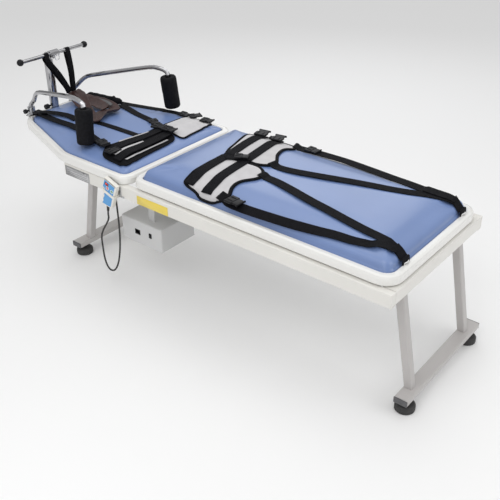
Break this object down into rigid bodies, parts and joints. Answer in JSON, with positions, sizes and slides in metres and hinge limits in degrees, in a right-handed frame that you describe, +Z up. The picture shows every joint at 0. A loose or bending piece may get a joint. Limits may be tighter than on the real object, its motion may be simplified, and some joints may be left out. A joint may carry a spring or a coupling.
{
  "type": "motorised traction bed",
  "caption": "Treatment bed for neck and lower-back traction: fixed head board with T-bar post and padded armpit bars, foot board drawn along rails by an actuator.",
  "frame": {"origin": "on the floor, under the middle of the whole object's box", "axes": "+X along the bed from the head end to the foot end, +Y from the handset side to the far side, +Z up"},
  "size_m": [2.0364, 0.664, 0.778],
  "materials": {
    "frame_paint": "semi-gloss warm white powder coat",
    "leg_paint": "semi-gloss light grey powder coat",
    "box_paint": "satin light grey powder coat",
    "board_shell": "glossy white moulded plastic",
    "handset_shell": "semi-gloss cream plastic",
    "display": "dark red window",
    "red_button": "glossy red button cap",
    "green_button": "glossy green button cap",
    "vinyl": "glossy blue upholstery vinyl",
    "leather": "dark brown leather",
    "chrome": "polished chrome plate",
    "zinc": "zinc-plated steel",
    "black_plastic": "black moulded plastic",
    "roller_nylon": "natural nylon",
    "black_rubber": "black rubber",
    "black_foam": "black foam with a smooth skin",
    "webbing": "black nylon webbing and padded cloth"
  },
  "bodies": {
    "frame": {"side_rail_near": "frame_paint", "side_rail_far": "frame_paint", "end_rail_foot": "frame_paint", "head_outrigger": "frame_paint", "cross_member": "frame_paint", "leg_head_near": "leg_paint", "leg_head_far": "leg_paint", "leg_foot_near": "leg_paint", "leg_foot_far": "leg_paint", "foot_bar_head": "leg_paint", "foot_bar_foot": "leg_paint", "slide_track_near": "zinc", "slide_track_far": "zinc", "head_tray": "board_shell", "head_cushion": "vinyl", "head_halter": "leather", "chest_harness": "webbing", "actuator_housing": "black_plastic", "actuator_tube": "zinc", "post_sleeve": "chrome", "arm_socket_near": "zinc", "arm_socket_far": "zinc", "control_box": "box_paint", "power_inlet": "black_plastic", "cord_grommet": "black_rubber", "handset_holder": "handset_shell", "handset_cord": "black_rubber"},
    "foot_board": {"foot_tray": "board_shell", "foot_cushion": "vinyl", "carriage_bar_head": "zinc", "carriage_bar_foot": "zinc", "actuator_rod": "chrome", "pelvic_harness_near": "webbing", "pelvic_harness_far": "webbing"},
    "post": {"post_tube": "chrome", "t_bar": "chrome", "t_bar_ball_near": "black_plastic", "t_bar_ball_far": "black_plastic"},
    "post_knob": {"post_knob": "black_plastic"},
    "arm_near": {"arm_bar_near": "chrome", "arm_pad_near": "black_foam"},
    "arm_far": {"arm_bar_far": "chrome", "arm_pad_far": "black_foam"},
    "arm_knob_near": {"arm_knob_near": "black_plastic"},
    "arm_knob_far": {"arm_knob_far": "black_plastic"},
    "handset": {"handset_front": "handset_shell", "handset_back": "handset_shell", "display_window": "display", "handset_strain_relief": "black_rubber"},
    "release_button": {"release_button": "red_button"},
    "traction_button": {"traction_button": "green_button"},
    "power_switch": {"power_switch": "black_plastic"},
    "roller_head_near": {"roller_head_near": "roller_nylon"},
    "levelling_foot_head_near": {"levelling_foot_head_near": "black_rubber"},
    "roller_head_far": {"roller_head_far": "roller_nylon"},
    "levelling_foot_head_far": {"levelling_foot_head_far": "black_rubber"},
    "roller_foot_near": {"roller_foot_near": "roller_nylon"},
    "levelling_foot_foot_near": {"levelling_foot_foot_near": "black_rubber"},
    "roller_foot_far": {"roller_foot_far": "roller_nylon"},
    "levelling_foot_foot_far": {"levelling_foot_foot_far": "black_rubber"}
  },
  "joints": [
    {"name": "foot_board_slide", "type": "slide", "parent": "frame", "child": "foot_board", "axis": [1, 0, 0], "range_m": [0, 0.15]},
    {"name": "roller_head_near_spin", "type": "hinge", "parent": "foot_board", "child": "roller_head_near", "pos_m": [0.03825, -0.2617, 0.4545], "axis": [0, 1, 0], "continuous": true},
    {"name": "roller_head_far_spin", "type": "hinge", "parent": "foot_board", "child": "roller_head_far", "pos_m": [0.03825, 0.2923, 0.4545], "axis": [0, 1, 0], "continuous": true},
    {"name": "roller_foot_near_spin", "type": "hinge", "parent": "foot_board", "child": "roller_foot_near", "pos_m": [0.69825, -0.2617, 0.4545], "axis": [0, 1, 0], "continuous": true},
    {"name": "roller_foot_far_spin", "type": "hinge", "parent": "foot_board", "child": "roller_foot_far", "pos_m": [0.69825, 0.2923, 0.4545], "axis": [0, 1, 0], "continuous": true},
    {"name": "post_slide", "type": "slide", "parent": "frame", "child": "post", "axis": [0, 0, 1], "range_m": [0, 0.08]},
    {"name": "post_knob_turn", "type": "hinge", "parent": "frame", "child": "post_knob", "pos_m": [-0.98575, -0.0147, 0.5235], "axis": [0, -1, 0], "range_deg": [0, 360]},
    {"name": "arm_near_swing", "type": "hinge", "parent": "frame", "child": "arm_near", "pos_m": [-1.00175, -0.0987, 0.526], "axis": [0, 0, 1], "range_deg": [-45, 0]},
    {"name": "arm_far_swing", "type": "hinge", "parent": "frame", "child": "arm_far", "pos_m": [-1.00175, 0.1293, 0.526], "axis": [0, 0, 1], "range_deg": [0, 45]},
    {"name": "arm_knob_near_turn", "type": "hinge", "parent": "frame", "child": "arm_knob_near", "pos_m": [-1.00175, -0.1247, 0.527], "axis": [0, -1, 0], "range_deg": [0, 360]},
    {"name": "arm_knob_far_turn", "type": "hinge", "parent": "frame", "child": "arm_knob_far", "pos_m": [-1.00175, 0.1553, 0.527], "axis": [0, 1, 0], "range_deg": [0, 360]},
    {"name": "handset_lift", "type": "slide", "parent": "frame", "child": "handset", "axis": [0.3338, 0, 0.9426], "range_m": [0, 0.12]},
    {"name": "release_press", "type": "slide", "parent": "handset", "child": "release_button", "axis": [0, 1, 0], "range_m": [0, 0.0012], "stiffness_N_per_m": 400, "springref_m": -0.001},
    {"name": "traction_press", "type": "slide", "parent": "handset", "child": "traction_button", "axis": [0, 1, 0], "range_m": [0, 0.0012], "stiffness_N_per_m": 400, "springref_m": -0.001},
    {"name": "power_switch_rock", "type": "hinge", "parent": "frame", "child": "power_switch", "pos_m": [-0.15175, -0.2337, 0.25], "axis": [1, 0, 0], "range_deg": [-8, 8]},
    {"name": "levelling_foot_head_near_turn", "type": "hinge", "parent": "frame", "child": "levelling_foot_head_near", "pos_m": [-0.59675, -0.2157, 0.02], "axis": [0, 0, 1], "continuous": true},
    {"name": "levelling_foot_head_far_turn", "type": "hinge", "parent": "frame", "child": "levelling_foot_head_far", "pos_m": [-0.59675, 0.2463, 0.02], "axis": [0, 0, 1], "continuous": true},
    {"name": "levelling_foot_foot_near_turn", "type": "hinge", "parent": "frame", "child": "levelling_foot_foot_near", "pos_m": [0.98325, -0.2157, 0.02], "axis": [0, 0, 1], "continuous": true},
    {"name": "levelling_foot_foot_far_turn", "type": "hinge", "parent": "frame", "child": "levelling_foot_foot_far", "pos_m": [0.98325, 0.2463, 0.02], "axis": [0, 0, 1], "continuous": true}
  ],
  "couplings": [
    {"joint": "roller_head_near_spin", "follows": "foot_board_slide", "rad_per_m": 74.074},
    {"joint": "roller_head_far_spin", "follows": "foot_board_slide", "rad_per_m": 74.074},
    {"joint": "roller_foot_near_spin", "follows": "foot_board_slide", "rad_per_m": 74.074},
    {"joint": "roller_foot_far_spin", "follows": "foot_board_slide", "rad_per_m": 74.074}
  ]
}
